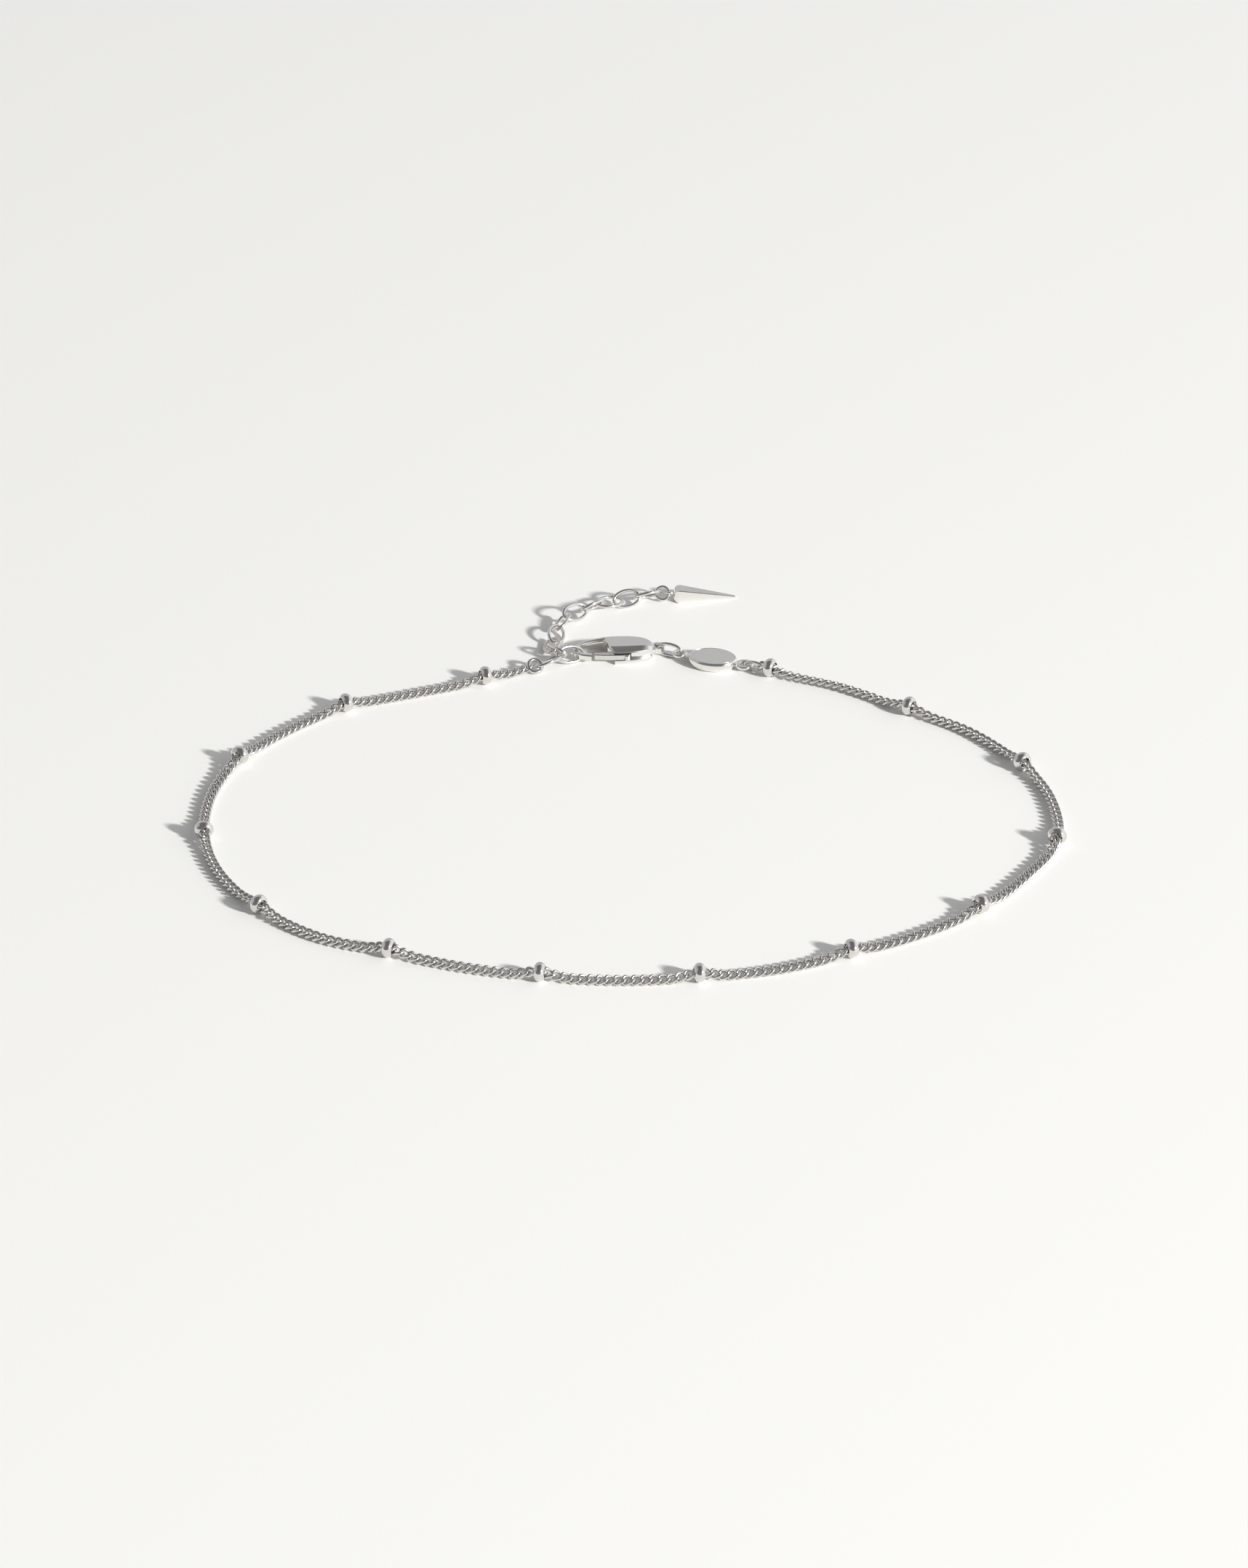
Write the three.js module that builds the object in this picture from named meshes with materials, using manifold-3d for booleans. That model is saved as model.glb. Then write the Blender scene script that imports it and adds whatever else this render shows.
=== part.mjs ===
// A chain anklet of polished silver that lies open on a flat surface.
// Millimetres, +Z up. The surface is z = 0, and the origin is under the middle of the anklet.
import * as THREE from "three";
import { mergeVertices } from "three/addons/utils/BufferGeometryUtils.js";
import Module from "manifold-3d";

const wasm = await Module();
wasm.setup();

// The tables below give places on one layout sheet, whose zero lies this far from the origin.
const SHEET_X = -0.62;
const SHEET_Y = -0.21;

// Curb chain: the loop's own outside, with its wire links filled in.
const CHAIN_DIAMETER = 0.96;
const CHAIN_SIDES = 8;
const CHAIN_STEPS = 80;
const CHAIN_SAG_HEIGHT = 0.5;
const CHAIN_ENDS = {
  left: { x: -10.66, y: 23.1, z: 0.8 },
  right: { x: 15.0, y: 22.81, z: 0.98 },
};

// Beads: turned rings with a round outside, which is part of an ellipse about a ring of this radius.
const BEAD_DIAMETER = 2.0;
const BEAD_WIDTH = 1.2;
const BEAD_BORE = 1.26;
const BEAD_CORE = 0.4;
const BEAD_SIDES = 12;
const BEAD_BANDS = 8;

// Each bead's middle, and the middle of the span of chain after it.
const BEADS = [
  { x: -14.6, y: 20.85, spanX: -22.05, spanY: 18.0 },
  { x: -29.1, y: 15.1, spanX: -34.9, spanY: 10.35 },
  { x: -39.75, y: 4.15, spanX: -42.2, spanY: -2.2 },
  { x: -42.7, y: -10.85, spanX: -40.8, spanY: -18.5 },
  { x: -36.5, y: -25.3, spanX: -30.45, spanY: -30.7 },
  { x: -23.3, y: -33.6, spanX: -15.95, spanY: -36.4 },
  { x: -8.3, y: -38.1, spanX: -0.45, spanY: -38.85 },
  { x: 7.45, y: -38.25, spanX: 15.15, spanY: -36.75 },
  { x: 22.5, y: -33.75, spanX: 29.4, spanY: -30.15 },
  { x: 35.65, y: -25.3, spanX: 40.65, spanY: -18.8 },
  { x: 43.95, y: -12.1, spanX: 43.65, spanY: -3.55 },
  { x: 41.1, y: 2.95, spanX: 36.0, spanY: 9.9 },
  { x: 29.8, y: 14.45, spanX: 22.8, spanY: 19.3 },
  { x: 15.4, y: 22.55 },
];

// Round wire links. Length and width are those of the wire's own middle line.
const WIRE_SIDES = 6;
const LINK_STEPS = 16;
const OVAL = { length: 2.9, width: 1.72, wire: 0.18 };
const LONG_OVAL = { length: 3.1, width: 1.72, wire: 0.18 };
const END_RING = { length: 1.46, width: 1.46, wire: 0.22 };
const PENDANT_RING = { length: 1.42, width: 1.42, wire: 0.16 };
const CLASP_LINK = { length: 2.75, width: 1.35, wire: 0.18 };
const TAG_LINK = { length: 1.98, width: 0.85, wire: 0.16 };

// Where each link lies: its middle, the way that its long axis points, how far that end rises,
// and how far the link is rolled over about its long axis, in degrees.
const LINKS = [
  { name: "end_ring", size: END_RING, x: -9.38, y: 23.42, z: 0.7, heading: 10, rise: -10, roll: 35 },
  { name: "chain_end_link", size: LONG_OVAL, x: -7.9, y: 24.28, z: 0.78, heading: 36, rise: 5, roll: -27 },
  { name: "hooked_link", size: OVAL, x: -5.7, y: 25.55, z: 0.89, heading: 24, rise: -5, roll: 54 },
  { name: "extender_link_01", size: OVAL, x: -7.05, y: 26.05, z: 1.1, heading: 124, rise: -12, roll: 48 },
  { name: "extender_link_02", size: OVAL, x: -7.65, y: 28.0, z: 0.6, heading: 90, rise: -2, roll: -24 },
  { name: "extender_link_03", size: OVAL, x: -7.2, y: 30.2, z: 0.7, heading: 78, rise: 7, roll: 32 },
  { name: "extender_link_04", size: OVAL, x: -6.65, y: 32.5, z: 0.92, heading: 72, rise: 5, roll: -36 },
  { name: "extender_link_05", size: OVAL, x: -5.25, y: 34.35, z: 1.12, heading: 36, rise: -3, roll: 48 },
  { name: "extender_link_06", size: OVAL, x: -3.3, y: 35.8, z: 1.1, heading: 37, rise: 2, roll: -50 },
  { name: "extender_link_07", size: OVAL, x: -1.55, y: 36.95, z: 0.93, heading: 24, rise: -5, roll: 8 },
  { name: "extender_link_08", size: OVAL, x: 0.3, y: 37.7, z: 0.91, heading: 20, rise: 4, roll: 56 },
  { name: "extender_link_09", size: OVAL, x: 2.55, y: 38.5, z: 0.94, heading: 20, rise: 0, roll: -42 },
  { name: "pendant_jump_ring", size: PENDANT_RING, x: 4.15, y: 38.95, z: 0.87, heading: 5, rise: 0, roll: 50 },
  { name: "clasp_link", size: CLASP_LINK, x: 4.78, y: 26.6, z: 0.87, heading: -20, rise: 0, roll: 90 },
  { name: "tag_link", size: TAG_LINK, x: 13.69, y: 23.6, z: 0.62, heading: -26, rise: 6, roll: 90 },
];

// Clasp: a lobster clasp. Along it u runs from the hook to the eye, and v runs away from the lever.
const CLASP_PLACE = { x: -0.65, y: 26.72, heading: 3 };
const CLASP_SKIN = 0.1;
const CLASP_PLATE = 0.35;
const CLASP_SECTIONS = [
  { u: -2.2, half: 1.7, bottom: 0.0, rim: 1.42, top: 1.68, flatNear: 0.62, flatFar: 1.05 },
  { u: -1.0, half: 1.86, bottom: 0.0, rim: 1.43, top: 1.7, flatNear: 0.8, flatFar: 1.25 },
  { u: 0.6, half: 1.9, bottom: 0.0, rim: 1.43, top: 1.7, flatNear: 0.82, flatFar: 1.3 },
  { u: 1.9, half: 1.77, bottom: 0.0, rim: 1.41, top: 1.68, flatNear: 0.76, flatFar: 1.18 },
  { u: 2.9, half: 1.5, bottom: 0.05, rim: 1.34, top: 1.58, flatNear: 0.62, flatFar: 0.95 },
  { u: 3.5, half: 1.15, bottom: 0.25, rim: 1.2, top: 1.36, flatNear: 0.45, flatFar: 0.7 },
  { u: 3.85, half: 0.72, bottom: 0.5, rim: 1.04, top: 1.14, flatNear: 0.35, flatFar: 0.45 },
];
const CLAW = [
  [-1.85, 2.6], [-1.6, 1.3], [-1.15, 0.5], [-1.1, -0.3], [-0.5, -1.45], [-0.3, -2.6], [-6.0, -2.6], [-6.0, 2.6],
];
const LEVER_SLOT = [
  [1.42, -3.0], [1.42, -0.95], [1.15, -0.68], [0.5, -0.68], [-1.3, 0.05], [-3.0, 0.6], [-3.0, -3.0],
];
const LEVER_SLOT_LOW = 0.44;
const LEVER_SLOT_HIGH = 1.3;
const TAIL_RECESS = [
  [1.3, -3.0], [1.3, -1.4], [2.1, -1.34], [2.9, -1.12], [3.4, -0.85], [3.9, -0.75], [4.4, -3.0],
];
const HOOK_SECTIONS = [
  { u: -0.6, v: 1.5, width: 0.6, bottom: 0.1, top: 1.44 },
  { u: -1.6, v: 1.48, width: 0.62, bottom: 0.12, top: 1.42 },
  { u: -2.6, v: 1.3, width: 0.6, bottom: 0.18, top: 1.38 },
  { u: -3.6, v: 0.95, width: 0.58, bottom: 0.28, top: 1.3 },
  { u: -4.3, v: 0.42, width: 0.56, bottom: 0.4, top: 1.2 },
  { u: -4.55, v: -0.25, width: 0.56, bottom: 0.5, top: 1.15 },
  { u: -4.32, v: -0.82, width: 0.56, bottom: 0.5, top: 1.15 },
  { u: -3.7, v: -1.25, width: 0.64, bottom: 0.46, top: 1.16 },
  { u: -2.8, v: -1.5, width: 0.66, bottom: 0.42, top: 1.18 },
];
const HOOK_EDGE = 0.12;
const CLASP_EYE = { u: 4.25, v: 0.1, outer: 0.75, hole: 0.42, bottom: 0.52, top: 1.12 };

// Clasp lever: it turns on a boss between the plates, with the thumb nub past the boss.
const LEVER_PIVOT = { u: 0.75, v: -1.32, boss: 0.15, bore: 0.25 };
const LEVER_BOTTOM = 0.56;
const LEVER_TOP = 1.18;
const LEVER_OUTLINE = [
  [-2.55, -1.66], [-1.7, -1.78], [-0.8, -1.85], [0.6, -1.87], [0.72, -2.14], [1.0, -2.16], [1.2, -1.7],
  [1.27, -1.3], [1.14, -0.98], [0.9, -0.82], [0.6, -0.82], [0.3, -0.96], [-1.0, -1.16], [-2.55, -1.14],
];

// Tag: an oval disc with a rounded side, an engraved border line and an eye at each end.
const TAG_PLACE = { x: 9.4, y: 24.84, heading: -14 };
const TAG_LENGTH = 5.3;
const TAG_WIDTH = 3.75;
const TAG_SIDES = 32;
const TAG_PROFILE = [
  [0.0, 0.0], [0.74, 0.0], [0.87, 0.08], [0.95, 0.26], [1.0, 0.58], [1.0, 0.8], [0.98, 0.95],
  [0.94, 1.05], [0.89, 1.1], [0.87, 1.05], [0.85, 1.1], [0.0, 1.1],
];
const TAG_RIGHT_EYE = { u: 3.44, v: 0.0, outer: 0.97, hole: 0.47, bottom: 0.3, top: 0.68 };
const TAG_LEFT_EYE = { u: -3.7, v: 0.47, outer: 0.78, hole: 0.44, bottom: 0.42, top: 0.8 };

// Spike pendant: a square spike that lies on one face, with its eye soldered to the blunt end.
const SPIKE_PLACE = { x: 5.84, y: 38.95, heading: 4.6 };
const SPIKE_SIDE = 1.55;
const SPIKE_LENGTH = 6.2;
const SPIKE_TIP_SIDE = 0.3;
const SPIKE_BACK_SIDE = 0.7;
const SPIKE_BACK_LENGTH = 0.5;
const SPIKE_EYE = { x: 4.89, y: 38.87, z: 0.87, diameter: 0.9, wire: 0.14, tilt: -40 };

function radians(degrees) {
  return THREE.MathUtils.degToRad(degrees);
}

function polishedSilver() {
  return new THREE.MeshStandardMaterial({ color: 0xdcdad6, roughness: 0.12, metalness: 1 });
}

function chainSilver() {
  return new THREE.MeshStandardMaterial({ color: 0xc9c6c1, roughness: 0.25, metalness: 1 });
}

function satinSilver() {
  return new THREE.MeshStandardMaterial({ color: 0xd0cdc8, roughness: 0.34, metalness: 1 });
}

function named(name, geometry, material) {
  const mesh = new THREE.Mesh(geometry, material);
  mesh.name = name;
  return mesh;
}

// A closed geometry as a solid that can be joined and cut.
function solidFrom(geometry) {
  const bare = geometry.clone();
  bare.deleteAttribute("normal");
  bare.deleteAttribute("uv");
  const merged = mergeVertices(bare, 1e-4);
  const vertProperties = new Float32Array(merged.getAttribute("position").array);
  const triVerts = new Uint32Array(merged.index.array);
  return new wasm.Manifold(new wasm.Mesh({ numProp: 3, vertProperties, triVerts }));
}

function geometryFrom(solid) {
  const made = solid.getMesh();
  const geometry = new THREE.BufferGeometry();
  geometry.setAttribute("position", new THREE.BufferAttribute(made.vertProperties, 3));
  geometry.setIndex(new THREE.BufferAttribute(made.triVerts, 1));
  const faceted = geometry.toNonIndexed();
  faceted.computeVertexNormals();
  return faceted;
}

// A closed solid through a row of outlines, each with the same number of points.
function loft(outlines) {
  const around = outlines[0].length;
  const last = (outlines.length - 1) * around;
  const index = [];
  for (let start = 0; start < last; start += around) {
    for (let k = 0; k < around; k += 1) {
      const here = start + k;
      const next = start + ((k + 1) % around);
      index.push(here, next, here + around, next, next + around, here + around);
    }
  }
  for (let k = 1; k + 1 < around; k += 1) {
    index.push(0, k + 1, k, last, last + k, last + k + 1);
  }
  const geometry = new THREE.BufferGeometry().setFromPoints(outlines.flat());
  geometry.setIndex(index);
  return geometry;
}

// An outline in the plan, drawn up from one height to another.
function prism(outline, low, high, hole) {
  const shape = new THREE.Shape(outline.map(([u, v]) => new THREE.Vector2(u, v)));
  if (hole) {
    shape.holes.push(new THREE.Path(circle(hole.u, hole.v, hole.radius).map(([u, v]) => new THREE.Vector2(u, v))));
  }
  const geometry = new THREE.ExtrudeGeometry(shape, { depth: high - low, bevelEnabled: false });
  return geometry.translate(0, 0, low);
}

function circle(u, v, radius, sides = 16) {
  const turns = Array.from({ length: sides }, (_, k) => (2 * Math.PI * k) / sides);
  return turns.map((turn) => [u + radius * Math.cos(turn), v + radius * Math.sin(turn)]);
}

function wireLink({ length, width, wire }) {
  const link = new THREE.TorusGeometry(1, wire, WIRE_SIDES, LINK_STEPS);
  const place = link.getAttribute("position");
  for (let i = 0; i < place.count; i += 1) {
    const turn = Math.atan2(place.getY(i), place.getX(i));
    const out = Math.hypot(place.getX(i), place.getY(i)) - 1;
    const normal = new THREE.Vector2(Math.cos(turn) * width, Math.sin(turn) * length).normalize();
    const x = (length / 2) * Math.cos(turn) + out * normal.x;
    const y = (width / 2) * Math.sin(turn) + out * normal.y;
    place.setXY(i, x, y);
  }
  return link;
}

function link({ name, size, x, y, z, heading, rise, roll }) {
  const mesh = named(name, wireLink(size), polishedSilver());
  mesh.position.set(x, y, z);
  mesh.rotation.set(radians(roll), radians(-rise), radians(heading), "ZYX");
  return mesh;
}

// The line that the chain follows: high in each bead, low between two of them.
function chainRoute() {
  const { left, right } = CHAIN_ENDS;
  const points = [new THREE.Vector3(left.x, left.y, left.z)];
  for (const { x, y, spanX, spanY } of BEADS) {
    points.push(new THREE.Vector3(x, y, BEAD_DIAMETER / 2));
    if (spanX !== undefined) {
      points.push(new THREE.Vector3(spanX, spanY, CHAIN_SAG_HEIGHT));
    }
  }
  points.push(new THREE.Vector3(right.x, right.y, right.z));
  return points;
}

function curbChain() {
  const route = new THREE.CatmullRomCurve3(chainRoute());
  const section = new THREE.Shape(
    circle(0, 0, CHAIN_DIAMETER / 2, CHAIN_SIDES).map(([u, v]) => new THREE.Vector2(u, v)),
  );
  const geometry = new THREE.ExtrudeGeometry(section, { steps: CHAIN_STEPS, extrudePath: route });
  return named("curb_chain", geometry, chainSilver());
}

function beadGeometry() {
  const swell = BEAD_DIAMETER / 2 - BEAD_CORE;
  const steepest = Math.acos((BEAD_BORE / 2 - BEAD_CORE) / swell);
  const turns = Array.from({ length: BEAD_BANDS + 1 }, (_, k) => steepest * ((2 * k) / BEAD_BANDS - 1));
  const outside = turns.map(
    (turn) => new THREE.Vector2(BEAD_CORE + swell * Math.cos(turn), (BEAD_WIDTH / 2) * Math.sin(turn)),
  );
  return new THREE.LatheGeometry([...outside, outside[0]], BEAD_SIDES);
}

// A bead faces along the chain where the chain passes through it, and stands on its own edge.
function bead(number) {
  const route = new THREE.CatmullRomCurve3(chainRoute());
  const stop = (2 * number - 1) / (route.points.length - 1);
  const along = route.getTangent(stop);
  const mesh = named(`bead_${String(number).padStart(2, "0")}`, beadGeometry(), polishedSilver());
  const { x, y } = BEADS[number - 1];
  mesh.position.set(x, y, BEAD_DIAMETER / 2);
  mesh.rotation.z = Math.atan2(along.y, along.x) - Math.PI / 2;
  return mesh;
}

function claspSection({ u, half, bottom, rim, top, flatNear, flatFar }) {
  const outline = [
    [half - CLASP_SKIN, bottom], [half, bottom + CLASP_SKIN], [half, bottom + CLASP_PLATE],
    [half - 0.16, rim], [flatFar, top], [-flatNear, top], [-half + 0.3, rim],
    [-half, bottom + CLASP_PLATE], [-half, bottom + CLASP_SKIN], [-half + CLASP_SKIN, bottom],
  ];
  return outline.map(([v, z]) => new THREE.Vector3(u, v, z));
}

function hookSection({ u, v, width, bottom, top }, index, rows) {
  const before = rows[Math.max(index - 1, 0)];
  const after = rows[Math.min(index + 1, rows.length - 1)];
  const along = new THREE.Vector2(after.u - before.u, after.v - before.v).normalize();
  const half = width / 2;
  const outline = [
    [half - HOOK_EDGE, bottom], [half, bottom + HOOK_EDGE], [half, top - HOOK_EDGE], [half - HOOK_EDGE, top],
    [HOOK_EDGE - half, top], [-half, top - HOOK_EDGE], [-half, bottom + HOOK_EDGE], [HOOK_EDGE - half, bottom],
  ];
  return outline.map(([side, z]) => new THREE.Vector3(u - side * along.y, v + side * along.x, z));
}

function eye({ u, v, outer, bottom, top }) {
  return solidFrom(prism(circle(u, v, outer), bottom, top));
}

function eyeHole({ u, v, hole }) {
  return solidFrom(prism(circle(u, v, hole), -1, 3));
}

function claspBody() {
  const { u, v, boss } = LEVER_PIVOT;
  const solid = solidFrom(loft(CLASP_SECTIONS.map(claspSection)))
    .subtract(solidFrom(prism(CLAW, -1, 3)))
    .subtract(solidFrom(prism(LEVER_SLOT, LEVER_SLOT_LOW, LEVER_SLOT_HIGH)))
    .subtract(solidFrom(prism(TAIL_RECESS, LEVER_SLOT_LOW, LEVER_SLOT_HIGH)))
    .add(solidFrom(loft(HOOK_SECTIONS.map(hookSection))))
    .add(solidFrom(prism(circle(u, v, boss), LEVER_SLOT_LOW - 0.1, LEVER_SLOT_HIGH + 0.05)))
    .add(eye(CLASP_EYE))
    .subtract(eyeHole(CLASP_EYE));
  return named("clasp_body", geometryFrom(solid), satinSilver());
}

function claspLever() {
  const { u, v, bore } = LEVER_PIVOT;
  const geometry = prism(LEVER_OUTLINE, LEVER_BOTTOM, LEVER_TOP, { u, v, radius: bore });
  return named("clasp_lever", geometry, polishedSilver());
}

function clasp() {
  const group = new THREE.Group();
  group.add(claspBody(), claspLever());
  group.position.set(CLASP_PLACE.x, CLASP_PLACE.y, 0);
  group.rotation.z = radians(CLASP_PLACE.heading);
  return group;
}

// A short bar of solder from the disc to one of its eyes.
function tagNeck(from, to, v) {
  return solidFrom(prism([[from, v - 0.35], [to, v - 0.35], [to, v + 0.35], [from, v + 0.35]], 0.34, 0.64));
}

function tag() {
  const disc = new THREE.LatheGeometry(TAG_PROFILE.map(([r, y]) => new THREE.Vector2(r, y)), TAG_SIDES);
  disc.rotateX(Math.PI / 2);
  disc.scale(TAG_LENGTH / 2, TAG_WIDTH / 2, 1);
  const solid = solidFrom(disc)
    .add(eye(TAG_RIGHT_EYE))
    .add(eye(TAG_LEFT_EYE))
    .add(tagNeck(2.3, 2.85, TAG_RIGHT_EYE.v))
    .add(tagNeck(-3.15, -2.35, TAG_LEFT_EYE.v))
    .subtract(eyeHole(TAG_RIGHT_EYE))
    .subtract(eyeHole(TAG_LEFT_EYE));
  const mesh = named("tag", geometryFrom(solid), satinSilver());
  mesh.position.set(TAG_PLACE.x, TAG_PLACE.y, 0);
  mesh.rotation.z = radians(TAG_PLACE.heading);
  return mesh;
}

// The spike's long axis first points along +X, then dips until its lower face is level.
function spikeGeometry() {
  const corner = Math.SQRT1_2;
  const profile = [
    [0, -SPIKE_BACK_LENGTH], [SPIKE_BACK_SIDE * corner, -SPIKE_BACK_LENGTH], [SPIKE_SIDE * corner, 0],
    [SPIKE_TIP_SIDE * corner, SPIKE_LENGTH], [0, SPIKE_LENGTH],
  ];
  const spike = new THREE.LatheGeometry(profile.map(([r, y]) => new THREE.Vector2(r, y)), 4);
  spike.rotateY(Math.PI / 4);
  spike.rotateZ(-Math.PI / 2);
  const dip = Math.atan((SPIKE_SIDE - SPIKE_TIP_SIDE) / 2 / SPIKE_LENGTH);
  spike.rotateY(dip);
  spike.rotateZ(radians(SPIKE_PLACE.heading));
  return spike.translate(SPIKE_PLACE.x, SPIKE_PLACE.y, (SPIKE_SIDE / 2) * Math.cos(dip));
}

function spikeEyeGeometry() {
  const { x, y, z, diameter, wire, tilt } = SPIKE_EYE;
  const ring = new THREE.TorusGeometry(diameter / 2, wire, WIRE_SIDES, LINK_STEPS);
  ring.rotateX(radians(tilt));
  return ring.translate(x, y, z);
}

function spikePendant() {
  const solid = solidFrom(spikeGeometry()).add(solidFrom(spikeEyeGeometry()));
  return named("spike_pendant", geometryFrom(solid), satinSilver());
}

function anklet() {
  const group = new THREE.Group();
  group.add(curbChain());
  BEADS.forEach((_, index) => group.add(bead(index + 1)));
  LINKS.forEach((row) => group.add(link(row)));
  group.add(clasp(), tag(), spikePendant());
  group.position.set(SHEET_X, SHEET_Y, 0);
  return group;
}

export default anklet();
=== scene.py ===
"""Studio scene of a chain anklet in polished silver that lies open on a pale surface.

Every place comes from one layout sheet in millimetres. The meshes are shaped there, where the numbers
are of a handy size, and moved to the frame in metres at the end.
"""

import logging
import math
from dataclasses import astuple, dataclass
from enum import Enum
from typing import Iterable, Sequence

import bpy
import numpy as np
from mathutils import Euler, Matrix, Vector

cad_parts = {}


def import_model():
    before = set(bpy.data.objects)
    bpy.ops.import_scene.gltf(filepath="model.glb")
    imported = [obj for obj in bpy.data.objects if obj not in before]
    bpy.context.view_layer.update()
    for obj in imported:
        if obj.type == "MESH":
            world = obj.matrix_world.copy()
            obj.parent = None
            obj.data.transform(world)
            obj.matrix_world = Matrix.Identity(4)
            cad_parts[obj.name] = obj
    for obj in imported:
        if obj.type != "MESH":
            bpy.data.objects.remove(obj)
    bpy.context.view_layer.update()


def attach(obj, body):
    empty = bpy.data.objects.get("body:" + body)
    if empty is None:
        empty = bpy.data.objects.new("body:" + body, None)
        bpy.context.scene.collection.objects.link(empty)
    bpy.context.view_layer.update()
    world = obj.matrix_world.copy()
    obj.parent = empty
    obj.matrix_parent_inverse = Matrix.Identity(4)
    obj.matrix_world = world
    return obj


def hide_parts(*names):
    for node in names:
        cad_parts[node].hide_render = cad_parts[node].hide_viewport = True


LOG = logging.getLogger("anklet")

METRES_PER_MM = 0.001
SHEET_SHIFT_MM = (-0.62, -0.21, 0.0)
ANKLET_BODY = "anklet"
LEVER_BODY = "lever"

PHOTO_ELEVATION_DEG = 30.5
PHOTO_DISTANCE_MM = 749.0
PHOTO_LENS_MM = 166.98

# Two heights on the sheet that are clear of every piece, for cutters that go right through.
UNDER_ALL = -1.0
OVER_ALL = 3.0


class Slot(Enum):
    """The record's material slots."""

    POLISHED = "polished_silver"
    CHAIN = "chain_silver"
    SATIN = "satin_silver"


# Colour and nodes


def linear(hex_colour: str) -> tuple[float, float, float, float]:
    """Turns an sRGB hex colour into linear light.

    Args:
        hex_colour: six hex digits after a hash, such as "#e4e3df".

    Returns:
        Red, green, blue and an alpha of 1.
    """
    channels = [int(hex_colour[k : k + 2], 16) / 255 for k in (1, 3, 5)]
    red, green, blue = [c / 12.92 if c <= 0.04045 else ((c + 0.055) / 1.055) ** 2.4 for c in channels]
    return red, green, blue, 1.0


def add_node(
    tree: bpy.types.NodeTree,
    kind: str,
    inputs: dict[str | int, object] | None = None,
    **settings: object,
) -> bpy.types.Node:
    """Adds a node with its settings, its values and its links.

    Args:
        tree: the node tree that gets the node.
        kind: Blender's name for the node type.
        inputs: a value or an output socket for each named or numbered input.
        **settings: properties of the node itself.

    Returns:
        The new node.
    """
    node = tree.nodes.new(kind)
    for name, value in settings.items():
        setattr(node, name, value)
    for name, value in (inputs or {}).items():
        if isinstance(value, bpy.types.NodeSocket):
            tree.links.new(value, node.inputs[name])
        else:
            node.inputs[name].default_value = value
    return node


@dataclass(frozen=True)
class SilverFinish:
    """Sterling silver, which shows a clean cool-white mirror with the faint haze of its polishing.

    A real polishing grain is too fine to show, so grain_mm is as coarse as it needs to be.
    """

    name: str
    colour: str
    bright_colour: str
    roughness_low: float
    roughness_high: float
    haze_mm: float
    grain_mm: float
    grain_depth_mm: float

    def material(self) -> bpy.types.Material:
        """Makes the procedural material.

        Returns:
            A metal whose colour and roughness cloud over at haze_mm and whose surface has a fine grain.
        """
        material = bpy.data.materials.new(self.name)
        material.use_nodes = True
        tree = material.node_tree
        shader = tree.nodes["Principled BSDF"]
        place = add_node(tree, "ShaderNodeTexCoord").outputs["Object"]
        haze = add_node(
            tree,
            "ShaderNodeTexNoise",
            {"Vector": place, "Scale": 1 / (self.haze_mm * METRES_PER_MM), "Detail": 3.0},
        )
        roughness = add_node(
            tree,
            "ShaderNodeMapRange",
            {"Value": haze.outputs["Fac"], "To Min": self.roughness_low, "To Max": self.roughness_high},
        )
        # Inputs 6 and 7 are the mix's two colours: its other pairs have the same names.
        tarnish = add_node(
            tree,
            "ShaderNodeMix",
            {"Factor": haze.outputs["Fac"], 6: linear(self.colour), 7: linear(self.bright_colour)},
            data_type="RGBA",
        )
        grain = add_node(
            tree,
            "ShaderNodeTexNoise",
            {"Vector": place, "Scale": 1 / (self.grain_mm * METRES_PER_MM), "Detail": 2.0},
        )
        bump = add_node(
            tree,
            "ShaderNodeBump",
            {
                "Height": grain.outputs["Fac"],
                "Strength": 1.0,
                "Distance": self.grain_depth_mm * METRES_PER_MM,
            },
        )
        shader.inputs["Metallic"].default_value = 1.0
        tree.links.new(tarnish.outputs[2], shader.inputs["Base Color"])
        tree.links.new(roughness.outputs["Result"], shader.inputs["Roughness"])
        tree.links.new(bump.outputs["Normal"], shader.inputs["Normal"])
        return material


# Tumbled and buffed sterling silver: a bright mirror with a trace of haze.
BUFFED_SILVER = SilverFinish(
    name="buffed_sterling_silver",
    colour="#dbd9d6",
    bright_colour="#e8e6e3",
    roughness_low=0.05,
    roughness_high=0.1,
    haze_mm=1.5,
    grain_mm=0.2,
    grain_depth_mm=0.0004,
)

# Drawn silver wire, bright-dipped after soldering: a mirror that is a little less clear.
WIRE_SILVER = SilverFinish(
    name="bright_dipped_silver_wire",
    colour="#d6d4d1",
    bright_colour="#e4e2df",
    roughness_low=0.08,
    roughness_high=0.15,
    haze_mm=0.8,
    grain_mm=0.12,
    grain_depth_mm=0.0006,
)

# Cast silver with a fine satin on its flats: it shows an even grey with soft edges.
SATIN_SILVER = SilverFinish(
    name="cast_satin_silver",
    colour="#ebe9e6",
    bright_colour="#f5f4f1",
    roughness_low=0.1,
    roughness_high=0.2,
    haze_mm=1.2,
    grain_mm=0.1,
    grain_depth_mm=0.0008,
)


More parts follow.
